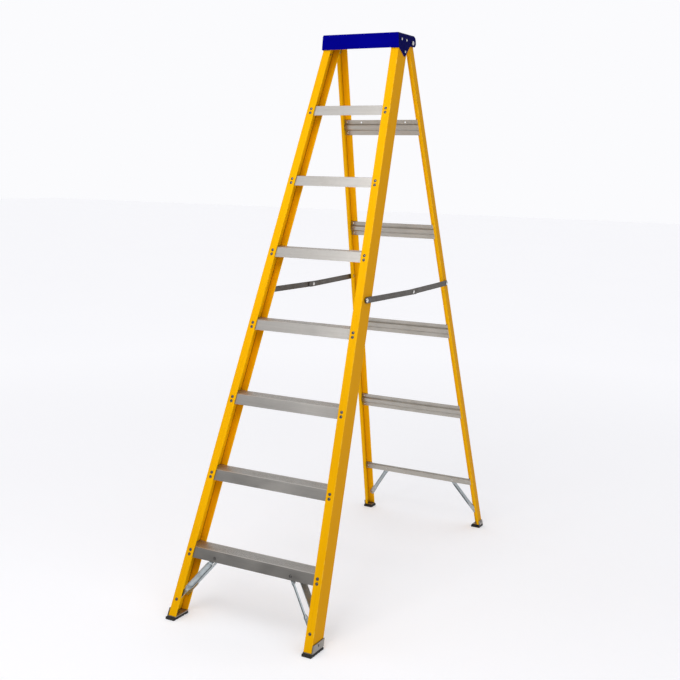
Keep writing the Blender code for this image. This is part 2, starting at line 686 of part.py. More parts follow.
# ---------------------------------------------------------------- the ladder
def build():
    yellow = material("yellow_fibreglass", (0.90, 0.52, 0.01), 0.42, 0.0)
    blue = material("blue_cap", (0.01, 0.01, 0.30), 0.45, 0.0)
    aluminium = material("ribbed_aluminium", (0.62, 0.59, 0.56), 0.38, 1.0)
    bar_metal = material("bar_aluminium", (0.52, 0.50, 0.47), 0.42, 1.0)
    galvanised = material("galvanised_steel", (0.50, 0.54, 0.58), 0.40, 1.0)
    steel = material("spreader_steel", (0.28, 0.27, 0.26), 0.45, 1.0)
    bright = material("rivet_steel", (0.75, 0.75, 0.75), 0.25, 1.0)
    rubber = material("black_rubber", (0.02, 0.02, 0.02), 0.80, 0.0)

    for word, side in SIDES:
        front_stile(word, side, yellow)
        rear_stile(word, side, yellow)
        hinge_plate(word, side, galvanised)
        cap_fasteners(word, side, bright)
        spreader(word, side, steel, bright)
        feet(word, side, aluminium, rubber)
    top_cap(blue)
    for number in range(1, TREAD_COUNT + 1):
        tread(number, aluminium)
    for number, (low, height) in enumerate(REAR_BARS, 1):
        rear_bar(number, low, height, bar_metal)
    braces(galvanised)


for old in list(bpy.data.objects):
    bpy.data.objects.remove(old)
PARTS = collection("step_ladder")
CUTTERS = collection("step_ladder_cutters")
build()
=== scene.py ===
"""Looks for the step ladder: materials, rivets, screws, cap ribs, floor, light and camera."""
import math

import bmesh
import bpy
from mathutils import Matrix, Vector


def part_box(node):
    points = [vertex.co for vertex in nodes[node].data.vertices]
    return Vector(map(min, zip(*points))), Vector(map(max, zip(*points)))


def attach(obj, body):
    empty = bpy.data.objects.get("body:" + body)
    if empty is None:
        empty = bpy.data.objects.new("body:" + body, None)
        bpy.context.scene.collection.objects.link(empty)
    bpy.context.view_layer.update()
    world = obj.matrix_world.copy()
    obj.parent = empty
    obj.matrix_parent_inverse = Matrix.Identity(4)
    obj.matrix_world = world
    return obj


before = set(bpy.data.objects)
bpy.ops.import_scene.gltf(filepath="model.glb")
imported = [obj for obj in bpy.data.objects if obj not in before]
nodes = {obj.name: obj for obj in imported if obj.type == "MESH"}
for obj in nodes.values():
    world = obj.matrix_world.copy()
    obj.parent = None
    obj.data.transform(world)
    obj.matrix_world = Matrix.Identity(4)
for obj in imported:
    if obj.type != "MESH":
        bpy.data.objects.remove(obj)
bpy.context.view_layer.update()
SIDES = (("left", -1), ("right", 1))


# ---------------------------------------------------------------- where the frames' planes lie
class Slope:
    """One leaning frame of the ladder: its lean, its taper, and the Y where its planes meet the floor."""

    def __init__(self, low_node, high_node, stile, facing):
        (low_a, high_a), (low_b, high_b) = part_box(low_node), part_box(high_node)
        y_a, y_b = (low_a.y, low_b.y) if facing == "front" else (high_a.y, high_b.y)
        rise = low_b.z - low_a.z
        self.lean = (y_b - y_a) / rise
        self.taper = (high_a.x - high_b.x) / rise
        self.steps = y_a - self.lean * low_a.z
        foot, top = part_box(stile)
        ends = [v.co.y for v in nodes[stile].data.vertices if v.co.z < foot.z + 0.0005]
        self.foot_z = foot.z
        self.foot_middle = (min(ends) + max(ends)) / 2
        self.face = min(ends) - self.lean * foot.z
        self.back = max(ends) - self.lean * foot.z
        self.half = top.x + self.taper * foot.z

    def x(self, z, inset=0.0):
        """Distance from the middle of the ladder to a point set in from the web's outer face."""
        return self.half - self.taper * z - inset

    def spot(self, plane, x, z, way, depth=0.0):
        """A point depth behind one of the planes, and the normal there that faces way in Y."""
        y = plane + self.lean * z + depth * math.hypot(1.0, self.lean)
        return Vector((x, y, z)), Vector((0.0, way, -way * self.lean)).normalized()


front = Slope("tread_1", "tread_7", "front_stile_right", "front")
rear = Slope("rear_bar_4", "rear_bar_1", "rear_stile_right", "rear")


# ---------------------------------------------------------------- shader graphs
class Tree:
    """A node tree, with short calls for the nodes used here."""

    def __init__(self, tree):
        self.tree = tree

    def node(self, kind, **settings):
        made = self.tree.nodes.new(kind)
        for key, value in settings.items():
            setattr(made, key, value)
        return made

    def feed(self, socket, value):
        if isinstance(value, bpy.types.NodeSocket):
            self.tree.links.new(value, socket)
        elif isinstance(value, tuple) and len(value) == 3 and socket.type == "RGBA":
            socket.default_value = (*value, 1.0)
        else:
            socket.default_value = value

    def math(self, operation, *values, clamp=False):
        made = self.node("ShaderNodeMath", operation=operation, use_clamp=clamp)
        for socket, value in zip(made.inputs, values):
            self.feed(socket, value)
        return made.outputs[0]

    def product(self, *values):
        return self.math("MULTIPLY", *values)

    def split(self, vector):
        made = self.node("ShaderNodeSeparateXYZ")
        self.feed(made.inputs[0], vector)
        return made.outputs

    def ramp(self, value, low, high, out_low=0.0, out_high=1.0, blend="LINEAR"):
        """Takes value from the range low to high into the range out_low to out_high, and no further."""
        made = self.node("ShaderNodeMapRange", clamp=True, interpolation_type=blend)
        for key, number in (("Value", value), ("From Min", low), ("From Max", high),
                            ("To Min", out_low), ("To Max", out_high)):
            self.feed(made.inputs[key], number)
        return made.outputs["Result"]


class Graph(Tree):
    """A material's tree, built round its Principled shader."""

    def __init__(self, name):
        self.material = bpy.data.materials.new(name)
        self.material.use_nodes = True
        super().__init__(self.material.node_tree)
        self.shader = self.tree.nodes["Principled BSDF"]
        coordinates = self.node("ShaderNodeTexCoord")
        self.object_co = coordinates.outputs["Object"]
        self.normal = coordinates.outputs["Normal"]

    def scaled(self, vector, scale):
        made = self.node("ShaderNodeVectorMath", operation="MULTIPLY")
        self.feed(made.inputs[0], vector)
        made.inputs[1].default_value = scale
        return made.outputs[0]

    def join(self, x, y, z):
        made = self.node("ShaderNodeCombineXYZ")
        for socket, value in zip(made.inputs, (x, y, z)):
            self.feed(socket, value)
        return made.outputs[0]

    def noise(self, vector, scale, detail, rough, distortion=0.0):
        made = self.node("ShaderNodeTexNoise")
        self.feed(made.inputs["Vector"], vector)
        made.inputs["Scale"].default_value = scale
        made.inputs["Detail"].default_value = detail
        made.inputs["Roughness"].default_value = rough
        made.inputs["Distortion"].default_value = distortion
        return made.outputs["Fac"]

    def cells(self, vector, scale):
        made = self.node("ShaderNodeTexVoronoi")
        self.feed(made.inputs["Vector"], vector)
        made.inputs["Scale"].default_value = scale
        return made.outputs["Color"]

    def mix(self, share, first, second):
        made = self.node("ShaderNodeMix", data_type="RGBA")
        self.feed(made.inputs["Factor"], share)
        for socket, color in zip((s for s in made.inputs if s.type == "RGBA"), (first, second)):
            self.feed(socket, color)
        return next(s for s in made.outputs if s.type == "RGBA")

    def crease(self, distance):
        """1 in narrow creases and under heads, 0 on open faces."""
        made = self.node("ShaderNodeAmbientOcclusion", samples=6)
        made.inputs["Distance"].default_value = distance
        return self.math("SUBTRACT", 1.0, made.outputs["AO"], clamp=True)

    def bump(self, *layers):
        """Layers of (height, distance in metres, strength), one on another."""
        normal = None
        for height, distance, strength in layers:
            made = self.node("ShaderNodeBump")
            made.inputs["Strength"].default_value = strength
            made.inputs["Distance"].default_value = distance
            self.feed(made.inputs["Height"], height)
            if normal is not None:
                self.feed(made.inputs["Normal"], normal)
            normal = made.outputs[0]
        self.feed(self.shader.inputs["Normal"], normal)

    def surface(self, color, roughness, metallic=0.0, **constants):
        self.feed(self.shader.inputs["Base Color"], color)
        self.feed(self.shader.inputs["Roughness"], roughness)
        self.shader.inputs["Metallic"].default_value = metallic
        for key, value in constants.items():
            self.shader.inputs[key.replace("_", " ")].default_value = value
        return self.material


# ---------------------------------------------------------------- materials
# Noise scales are in cycles per metre; where there are three, they are for X, Y and Z.
# Bump layers are (height, distance in metres, strength).
# Among these colours, the ones for the web's outside and the channel's inside are painted shade and
# painted light. The ones for where parts meet and for creases are painted shade.
RESIN = {"deep": (0.90, 0.440, 0.0010), "light": (0.97, 0.495, 0.0015), "streak": (0.80, 0.365, 0.0008),
         "fibre": (1.0, 0.60, 0.02), "veil": (0.76, 0.35, 0.001), "outside": (0.70, 0.315, 0.0008),
         "inside": (1.0, 0.56, 0.0015), "rubbed": (1.0, 0.66, 0.10), "patchy_shade": (0.42, 0.23, 0.01),
         "crease": (0.10, 0.055, 0.012), "scuff": (0.42, 0.30, 0.12)}
CORNER_RUB = 0.0035
# In CAP_BLUE, the crease and ends colours are painted shade.
CAP_BLUE = {"deep": (0.0003, 0.0003, 0.205), "light": (0.0006, 0.0006, 0.260),
            "scratch": (0.03, 0.03, 0.42), "dust": (0.30, 0.31, 0.42),
            "crease": (0.001, 0.001, 0.03), "ends": (0.0002, 0.0002, 0.012)}
TREAD = {"tint": (0.60, 0.575, 0.54), "dull": (0.47, 0.445, 0.41)}
BAR = {"tint": (0.50, 0.475, 0.43), "dull": (0.38, 0.36, 0.32)}
# The second colour is painted shade for grooves and creases.
METAL_SCRATCH, METAL_CREASE_SHADE = (0.74, 0.73, 0.70), (0.11, 0.095, 0.07)
SHOE = {"tint": (0.34, 0.325, 0.30), "dull": (0.22, 0.205, 0.185)}
ZINC = {"tint": (0.50, 0.55, 0.57), "dull": (0.34, 0.37, 0.37)}
# Painted shade for the zinc's corners and creases.
ZINC_CREASE_SHADE = (0.035, 0.038, 0.034)
# The crease colour is painted shade.
STRIP = {"light": (0.135, 0.124, 0.112), "dark": (0.100, 0.092, 0.083), "stain": (0.12, 0.095, 0.07),
         "fleck": (0.30, 0.285, 0.26), "crease": (0.06, 0.045, 0.03)}
BRIGHT = {"tint": (0.80, 0.79, 0.77), "dull": (0.55, 0.54, 0.52)}
# The rivet metal again, darkened as painted shade.
SHADED_RIVETS = {"tint": (0.20, 0.195, 0.19), "dull": (0.10, 0.098, 0.094)}
# Painted shade round the rim of rivet heads.
RIM_SHADE = (0.045, 0.036, 0.024)
RUBBER = {"dark": (0.010, 0.010, 0.011), "light": (0.022, 0.021, 0.020), "dust": (0.16, 0.145, 0.12)}


def fibreglass(name, slope):
    """Pultruded glass-fibre: resin-rich skin over lengthwise rovings, rubbed on its corners."""
    g = Graph(name)
    x, y, z = g.split(g.object_co)
    # u runs in from the web's outer face and v back from the stile's front.
    u = g.math("ADD", g.math("MULTIPLY_ADD", z, slope.taper, g.math("ABSOLUTE", x)), -slope.half)
    v = g.math("SUBTRACT", g.math("MULTIPLY_ADD", z, -slope.lean, y), slope.face)
    local = g.join(g.math("MULTIPLY_ADD", g.math("SIGN", x), 0.37, u), v, z)
    streaks = g.noise(g.scaled(local, (260.0, 260.0, 2.2)), 1.0, 4.0, 0.6)
    fibres = g.noise(g.scaled(local, (900.0, 900.0, 7.0)), 1.0, 2.0, 0.5)
    veil = g.noise(g.scaled(local, (1.0, 1.0, 0.35)), 55.0, 5.0, 0.62)
    cloud = g.noise(local, 3.1, 3.0, 0.5)
    color = g.mix(g.ramp(cloud, 0.3, 0.7), RESIN["deep"], RESIN["light"])
    color = g.mix(g.ramp(streaks, 0.35, 0.72, 0.0, 0.42), color, RESIN["streak"])
    color = g.mix(g.ramp(fibres, 0.55, 0.8, 0.0, 0.22), color, RESIN["fibre"])
    color = g.mix(g.ramp(veil, 0.58, 0.75, 0.0, 0.20), color, RESIN["veil"])
    # Painted light and shade: the outside of the web is painted darker and the inside of the channel
    # lighter, for the way light falls on them.
    outward = g.product(g.split(g.normal)[0], g.math("SIGN", x))
    color = g.mix(g.ramp(outward, 0.5, 0.9, 0.0, 0.85), color, RESIN["outside"])
    color = g.mix(g.ramp(outward, -0.9, -0.5, 0.8, 0.0), color, RESIN["inside"])
    # The front and back corners of the web are rubbed.
    to_back = g.math("ABSOLUTE", g.math("SUBTRACT", v, slope.back - slope.face))
    corner = g.math("MINIMUM", g.math("ABSOLUTE", v), to_back)
    near = g.product(g.ramp(corner, 0.0, CORNER_RUB, 1.0, 0.0),
                     g.ramp(g.math("ABSOLUTE", u), 0.0, CORNER_RUB, 1.0, 0.0))
    rub = g.product(near, g.ramp(g.noise(local, 38.0, 4.0, 0.7), 0.45, 0.62))
    color = g.mix(g.product(rub, 0.65), color, RESIN["rubbed"])
    # Painted shade, patchy with noise, where parts meet and in the narrowest creases; scuffs low down on
    # the legs.
    patchy_shade = g.product(g.crease(0.012), g.ramp(g.noise(local, 24.0, 4.0, 0.6), 0.3, 0.7, 0.35, 1.0))
    color = g.mix(g.product(patchy_shade, 0.10), color, RESIN["patchy_shade"])
    color = g.mix(g.ramp(g.crease(0.0035), 0.10, 0.55, 0.0, 0.75), color, RESIN["crease"])
    scuff_noise = g.noise(g.scaled(local, (120.0, 40.0, 14.0)), 1.0, 3.0, 0.7, 0.6)
    scuff = g.product(g.ramp(scuff_noise, 0.66, 0.76), g.ramp(z, 0.04, 0.42, 1.0, 0.10))
    color = g.mix(g.product(scuff, 0.55), color, RESIN["scuff"])
    rough = g.math("ADD", g.ramp(streaks, 0.3, 0.7, 0.36, 0.48), g.product(scuff, 0.2))
    g.bump((streaks, 0.00035, 0.45), (fibres, 0.00012, 0.5), (veil, 0.0002, 0.35))
    return g.surface(color, rough, 0.0, Specular_IOR_Level=0.025)


def moulded_cap():
    """Deep-blue moulded plastic with a fine spark-eroded grain, a few pale scratches, painted shade in
    its creases and painted shade on its ends.
    """
    g = Graph("moulded_blue")
    co = g.object_co
    grain = g.noise(co, 1500.0, 2.0, 0.5)
    flow = g.noise(g.scaled(co, (4.0, 26.0, 26.0)), 1.0, 4.0, 0.55)
    scratch = g.noise(g.scaled(co, (28.0, 420.0, 60.0)), 1.0, 2.0, 0.6, 0.8)
    dust = g.noise(co, 42.0, 5.0, 0.65)
    facing = g.split(g.normal)
    flat = g.ramp(facing[2], 0.6, 0.95)
    ends = g.ramp(g.math("ABSOLUTE", facing[0]), 0.5, 0.9)
    color = g.mix(g.ramp(flow, 0.3, 0.7), CAP_BLUE["deep"], CAP_BLUE["light"])
    marks = g.product(g.ramp(scratch, 0.70, 0.78), g.math("ADD", g.product(flat, 0.8), 0.2))
    color = g.mix(g.product(marks, 0.30), color, CAP_BLUE["scratch"])
    color = g.mix(g.product(g.product(g.ramp(dust, 0.5, 0.8), flat), 0.10), color, CAP_BLUE["dust"])
    # Painted shade in creases, and on the end faces that look along X.
    color = g.mix(g.product(g.crease(0.008), 0.45), color, CAP_BLUE["crease"])
    color = g.mix(g.product(ends, 0.72), color, CAP_BLUE["ends"])
    rough = g.math("ADD", g.ramp(flow, 0.3, 0.7, 0.40, 0.50), g.product(marks, 0.15))
    g.bump((grain, 0.00016, 0.55), (flow, 0.0005, 0.25), (marks, 0.0001, 0.4))
    return g.surface(color, rough, 0.0, Specular_IOR_Level=0.012)


def extruded(name, colors, rough, crease_shade_share, low_shade):
    """Mill-finish aluminium drawn along X: die lines, dull blotches, painted shade in its grooves.

    The last argument is how far painted shade darkens the faces of the lowest treads that don't look up.
    """
    g = Graph(name)
    co = g.object_co
    tint, dull = colors["tint"], colors["dull"]
    die = g.noise(g.scaled(co, (1.6, 1300.0, 1300.0)), 1.0, 3.0, 0.6)
    drawn = g.noise(g.scaled(co, (5.0, 240.0, 240.0)), 1.0, 3.0, 0.55)
    blotch = g.noise(g.scaled(co, (0.6, 1.0, 1.0)), 26.0, 5.0, 0.65)
    scratch = g.noise(g.scaled(co, (60.0, 900.0, 300.0)), 1.0, 2.0, 0.6, 1.2)
    color = g.mix(g.ramp(drawn, 0.3, 0.7), tint, tuple(0.90 * c for c in tint))
    color = g.mix(g.ramp(blotch, 0.45, 0.75, 0.0, 0.45), color, dull)
    color = g.mix(g.ramp(scratch, 0.72, 0.80, 0.0, 0.40), color, METAL_SCRATCH)
    # Painted shade in grooves and creases, patchy with the blotches; the same mask roughens them.
    crease_shade = g.product(g.ramp(g.crease(0.006), 0.05, 0.6), g.ramp(blotch, 0.3, 0.7, 0.6, 1.0))
    color = g.mix(g.product(crease_shade, crease_shade_share), color, METAL_CREASE_SHADE)
    # Painted shade: faces that don't look up are darker on the lowest treads.
    low_down = g.ramp(g.split(co)[2], 0.15, 0.80, low_shade, 0.0)
    upright = g.ramp(g.split(g.normal)[2], 0.7, 0.95, 1.0, 0.0)
    color = g.mix(g.product(low_down, upright), color, tuple(0.42 * c for c in dull))
    roughness = g.math("ADD", g.ramp(blotch, 0.3, 0.7, *rough), g.product(crease_shade, 0.25))
    g.bump((die, 0.00008, 0.35), (drawn, 0.00022, 0.30), (scratch, 0.00005, 0.3))
    return g.surface(color, roughness, 0.92)


def galvanised(name, colors, spangle):
    """Zinc-plated sheet: faint spangle, dull bloom and painted shade in its corners."""
    g = Graph(name)
    co = g.object_co
    tint = colors["tint"]
    flakes = g.split(g.cells(co, spangle))[0]
    bloom = g.noise(co, 48.0, 5.0, 0.65)
    grain = g.noise(g.scaled(co, (500.0, 90.0, 500.0)), 1.0, 3.0, 0.55)
    color = g.mix(g.ramp(flakes, 0.0, 1.0, 0.0, 0.65), tint, tuple(0.82 * c for c in tint))
    color = g.mix(g.ramp(bloom, 0.5, 0.75, 0.0, 0.5), color, colors["dull"])
    # Painted shade in corners and creases.
    color = g.mix(g.ramp(g.crease(0.007), 0.05, 0.6, 0.0, 0.9), color, ZINC_CREASE_SHADE)
    rough = g.math("ADD", g.ramp(flakes, 0.0, 1.0, 0.30, 0.42), g.ramp(bloom, 0.4, 0.7, 0.0, 0.12))
    g.bump((bloom, 0.0002, 0.3), (grain, 0.00006, 0.35))
    return g.surface(color, rough, 0.90)


def spreader_steel():
    """Dull strip steel, rolled lengthwise, with brown staining and pale flecks."""
    g = Graph("spreader_strip")
    co = g.object_co
    rolled = g.noise(g.scaled(co, (700.0, 3.0, 700.0)), 1.0, 3.0, 0.6)
    stain = g.noise(co, 34.0, 5.0, 0.7)
    fleck = g.noise(co, 260.0, 2.0, 0.6)
    color = g.mix(g.ramp(rolled, 0.3, 0.7), STRIP["light"], STRIP["dark"])
    color = g.mix(g.ramp(stain, 0.5, 0.72, 0.0, 0.55), color, STRIP["stain"])
    color = g.mix(g.ramp(fleck, 0.66, 0.74, 0.0, 0.3), color, STRIP["fleck"])
    # Painted shade in creases.
    color = g.mix(g.product(g.crease(0.008), 0.6), color, STRIP["crease"])
    rough = g.math("ADD", g.ramp(stain, 0.4, 0.7, 0.38, 0.56), g.ramp(rolled, 0.3, 0.7, 0.0, 0.05))
    g.bump((rolled, 0.00010, 0.4), (stain, 0.0002, 0.25))
    return g.surface(color, rough, 0.85)


def rivet_metal(name, colors):
    """Set rivets and pins, with painted shade round the rim of each head."""
    g = Graph(name)
    co = g.object_co
    turned = g.noise(co, 900.0, 2.0, 0.6)
    dull = g.noise(co, 120.0, 4.0, 0.6)
    color = g.mix(g.ramp(dull, 0.4, 0.7), colors["tint"], colors["dull"])
    # Painted shade round the rim of each head.
    color = g.mix(g.ramp(g.crease(0.006), 0.04, 0.30, 0.0, 0.95), color, RIM_SHADE)
    g.bump((turned, 0.00006, 0.4), (dull, 0.0001, 0.3))
    return g.surface(color, g.ramp(dull, 0.3, 0.7, 0.12, 0.24), 0.92)


def rubber():
    """Black sole rubber with dust towards the floor."""
    g = Graph("sole_rubber")
    co = g.object_co
    pores = g.noise(co, 700.0, 3.0, 0.6)
    dust = g.noise(co, 70.0, 5.0, 0.65)
    low = g.product(g.ramp(g.split(co)[2], 0.0, 0.006, 1.0, 0.25), g.ramp(dust, 0.42, 0.7))
    color = g.mix(g.ramp(pores, 0.3, 0.7), RUBBER["dark"], RUBBER["light"])
    color = g.mix(g.product(low, 0.35), color, RUBBER["dust"])
    g.bump((pores, 0.00025, 0.5), (dust, 0.0003, 0.3))
    return g.surface(color, g.ramp(dust, 0.3, 0.7, 0.62, 0.85), 0.0, Specular_IOR_Level=0.35)


def paint(made, obj):
    obj.data.materials.clear()
    obj.data.materials.append(made)


front_glass = fibreglass("pultruded_front", front)
rear_glass = fibreglass("pultruded_rear", rear)
blue = moulded_cap()
tread_metal = extruded("tread_extrusion", TREAD, rough=(0.34, 0.50), crease_shade_share=0.85, low_shade=0.70)
bar_metal = extruded("bar_strip", BAR, rough=(0.36, 0.52), crease_shade_share=0.6, low_shade=0.0)
shoe_metal = galvanised("shoe_plate", SHOE, 160.0)
zinc = galvanised("zinc_plate", ZINC, 220.0)
strip = spreader_steel()
bright = rivet_metal("pins", BRIGHT)
# The same rivet metal, darkened as painted shade.
shaded_rivets = rivet_metal("shaded_rivet_heads", SHADED_RIVETS)
black = rubber()

# The first prefix that a node's name begins with decides its material.
PAINTS = (("front_stile", front_glass), ("rear_stile", rear_glass), ("top_cap", blue),
          ("tread_", tread_metal), ("rear_bar", bar_metal), ("front_shoe", shoe_metal),
          ("rear_shoe", shoe_metal), ("front_sole", black), ("rear_sole", black),
          ("spreader_front_link", strip), ("spreader_rear_link", strip), ("front_brace", zinc),
          ("inner_brace", zinc), ("rear_brace", zinc), ("hinge_plate", zinc), ("cap_rivet", bright),
          ("hinge_bolt", bright), ("spreader_", bright))
for node_name, obj in nodes.items():
    paint(next(made for prefix, made in PAINTS if node_name.startswith(prefix)), obj)


# ---------------------------------------------------------------- rivets and screws
RIVET_STEPS = 18
RIVET_FOLD = 40
# The radius of a head's rim, as a share of the dome's.
HEAD_RIM = 1.28
# How far the closed base of a rivet, or the root of a rib, lies inside the part that carries it.
SUNK = 0.0001


def head_profile(radius, dome):
    """Radius and height down the outside of a blind rivet's head: dimple, dome, thin rim."""
    points = [(0.0, dome * 0.72), (radius * 0.20, dome * 0.74), (radius * 0.27, dome * 0.95)]
    for degrees in (72, 54, 36, 18, 0):
        angle = math.radians(degrees)
        points.append((radius * math.cos(angle), dome * (0.12 + 0.88 * math.sin(angle))))
    points += [(radius * HEAD_RIM * 0.97, dome * 0.15), (radius * HEAD_RIM, dome * 0.08),
               (radius * HEAD_RIM, -SUNK), (0.0, -SUNK)]
    return points


def tail_profile(radius, height):
    """The upset end of a rivet: a low barrel with a rolled rim."""
    return [(0.0, height * 0.80), (radius * 0.35, height * 0.78), (radius * 0.45, height),
            (radius * 0.82, height * 0.97), (radius * 0.97, height * 0.75), (radius, height * 0.4),
            (radius * 0.94, 0.0), (radius * 0.94, -SUNK), (0.0, -SUNK)]


def lathe(mesh, profile, centre, normal):
    """Turn a profile about normal at centre and add it to a bmesh, closed."""
    turn = Vector((0.0, 0.0, 1.0)).rotation_difference(Vector(normal)).to_matrix().to_4x4()
    place = Matrix.Translation(centre) @ turn
    rings = []
    for radius, height in profile:
        if radius == 0.0:
            rings.append([mesh.verts.new(place @ Vector((0.0, 0.0, height)))])
            continue
        ring = []
        for k in range(RIVET_STEPS):
            angle = 2 * math.pi * k / RIVET_STEPS
            point = Vector((radius * math.cos(angle), radius * math.sin(angle), height))
            ring.append(mesh.verts.new(place @ point))
        rings.append(ring)
    for first, second in zip(rings, rings[1:]):
        for k in range(RIVET_STEPS):
            j = (k + 1) % RIVET_STEPS
            if len(first) == 1:
                mesh.faces.new((first[0], second[k], second[j]))
            elif len(second) == 1:
                mesh.faces.new((first[k], second[0], first[j]))
            else:
                mesh.faces.new((first[k], second[k], second[j], first[j]))


def piece(name, mesh, made, body, fold=None):
    """Finish a bmesh as one piece riding on a body, smooth where it folds by less than fold degrees."""
    bmesh.ops.recalc_face_normals(mesh, faces=mesh.faces)
    data = bpy.data.meshes.new(name)
    mesh.to_mesh(data)
    mesh.free()
    obj = bpy.data.objects.new(name, data)
    bpy.context.scene.collection.objects.link(obj)
    if fold is not None:
        data.shade_smooth()
        data.set_sharp_from_angle(angle=math.radians(fold))
    paint(made, obj)
    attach(obj, body)


def rivets(name, mesh, made, body):
    piece(name, mesh, made, body, RIVET_FOLD)


HEAD = head_profile(0.0040, 0.0019)
TAIL = tail_profile(0.0038, 0.0014)
SMALL_HEAD = head_profile(0.0032, 0.0015)

TREADS, BARS = 7, 5
TREAD_FRONT_DROPS, TREAD_FRONT_INSET = (0.0095, 0.0228), 0.0160
TREAD_BACK_DROPS, TREAD_BACK_INSET = (0.0095, 0.0190), 0.0170
# A bar higher than this has two rivets at each end, and a lower one has one.
TALL_BAR = 0.04
BAR_EDGE, BAR_INSET = 0.0080, 0.0125
# How far in front of the bars' back plane the heads sit.
TALL_BAR_FACE, NARROW_BAR_FACE = 0.0021, 0.0047
# How far in from the outer face of the flange the rivets of the front and inner braces sit.
LOWER_HEAD, UPPER_HEAD, LOWER_TAIL, UPPER_TAIL = 0.0, 0.0043, 0.0065, 0.0095
# How far in front of the bars' back plane the heads of a rear brace's rivets sit, and how far behind it
# the upper tail.
REAR_LOWER_HEAD, REAR_UPPER_HEAD, REAR_UPPER_TAIL = 0.0021, 0.0048, 0.0001
# The radius of the braces' round ends.
FRONT_BRACE_END, REAR_BRACE_END = 0.0066, 0.0091
WEB_WALLS = {"front": 0.0040, "rear": 0.0035}
SHOE_PLATE, SHOE_STACK = 0.0028, 0.0034
TAB_SCREW_SHARE = 0.62
BASE_SCREW_INSET, BASE_SCREW_BACK = 0.0165, 0.002


def tread_rivets():
    """Two rivets at each end of a tread, through each flange."""
    for number in range(1, TREADS + 1):
        made = bmesh.new()
        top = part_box(f"tread_{number}")[1].z
        for side in (-1, 1):
            for plane, way, drops, inset in ((front.face, -1, TREAD_FRONT_DROPS, TREAD_FRONT_INSET),
                                             (front.back, 1, TREAD_BACK_DROPS, TREAD_BACK_INSET)):
                for z in (top - drop for drop in drops):
                    lathe(made, HEAD, *front.spot(plane, side * front.x(z, inset), z, way))
        rivets(f"tread_{number}_rivets", made, shaded_rivets, "front_frame")


def bar_rivets():
    """A rivet in each corner of a rear bar, and its set end behind the flange."""
    for number in range(1, BARS + 1):
        made = bmesh.new()
        low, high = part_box(f"rear_bar_{number}")
        if high.z - low.z > TALL_BAR:
            heights, face = (low.z + BAR_EDGE, high.z - BAR_EDGE), TALL_BAR_FACE
        else:
            heights, face = ((low.z + high.z) / 2,), NARROW_BAR_FACE
        for side in (-1, 1):
            for z in heights:
                x = side * rear.x(z, BAR_INSET)
                lathe(made, HEAD, *rear.spot(rear.steps, x, z, -1, -face))
                lathe(made, TAIL, *rear.spot(rear.back, x, z, 1))
        rivets(f"rear_bar_{number}_rivets", made, bright, "rear_frame")


def ends_of(node, side, radius, lean):
    """X and Z of a brace's upper and lower rivets, from its box and the radius of its ends."""
    low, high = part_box(node)
    inner, outer = sorted((low.x, high.x), key=abs)
    rise = radius / math.hypot(1.0, lean)
    return (inner + side * radius, high.z - rise), (outer - side * radius, low.z + rise)


def brace_rivets():
    """Both ends of every brace: through the tread's lips or the bar, and through the flanges."""
    for word, side in SIDES:
        made = bmesh.new()
        for node, plane, way in (("front_brace_", front.face, -1), ("inner_brace_", front.back, 1)):
            upper, lower = ends_of(node + word, side, FRONT_BRACE_END, front.lean)
            lathe(made, HEAD, *front.spot(plane, *lower, way, -way * LOWER_HEAD))
            lathe(made, HEAD, *front.spot(plane, *upper, way, -way * UPPER_HEAD))
            lathe(made, TAIL, *front.spot(plane, *lower, -way, -way * LOWER_TAIL))
            lathe(made, TAIL, *front.spot(plane, *upper, -way, -way * UPPER_TAIL))
        rivets("brace_rivets_front_" + word, made, shaded_rivets, "front_frame")
        made = bmesh.new()
        upper, lower = ends_of("rear_brace_" + word, side, REAR_BRACE_END, rear.lean)
        lathe(made, SMALL_HEAD, *rear.spot(rear.steps, *lower, -1, -REAR_LOWER_HEAD))
        lathe(made, TAIL, *rear.spot(rear.back, *lower, 1))
        lathe(made, SMALL_HEAD, *rear.spot(rear.steps, *upper, -1, -REAR_UPPER_HEAD))
        lathe(made, TAIL, *rear.spot(rear.steps, *upper, 1, REAR_UPPER_TAIL))
        rivets("brace_rivets_rear_" + word, made, bright, "rear_frame")


def foot_screws():
    """A round-headed screw through each shoe's tab and one down through its base."""
    for word, side in SIDES:
        for end, slope in (("front", front), ("rear", rear)):
            made = bmesh.new()
            low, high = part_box(f"{end}_shoe_{word}")
            z = low.z + TAB_SCREW_SHARE * (high.z - low.z)
            x, y = side * slope.x(z), slope.foot_middle + slope.lean * (z - slope.foot_z)
            outward = Vector((side, 0.0, slope.taper)).normalized()
            lathe(made, SMALL_HEAD, (x + side * SHOE_STACK, y, z), outward)
            lathe(made, TAIL, (x - side * WEB_WALLS[end], y, z), -outward)
            z = low.z + SHOE_PLATE
            x, y = side * slope.x(z, BASE_SCREW_INSET), slope.foot_middle + BASE_SCREW_BACK
            lathe(made, SMALL_HEAD, (x, y, z), (0.0, 0.0, 1.0))
            rivets(f"{end}_shoe_screws_{word}", made, shaded_rivets, f"{end}_frame")


tread_rivets()
bar_rivets()
brace_rivets()
foot_screws()


# ---------------------------------------------------------------- ribs under the cap
CAP_COVER = 0.0030
CAP_BACK = 0.0060
RIB_REACH = 0.1020
RIB_DEPTH = 0.0110
RIB_ROWS = (0.30, 0.62, 0.97)
RIB_GAPS = 8
# Half the rib's thickness at its root, above its rounded edge, and at that edge.
RIB_ROOT, RIB_DRAFT, RIB_TIP = 0.0011, 0.0007, 0.0003
RIB_ROUND = 0.0006


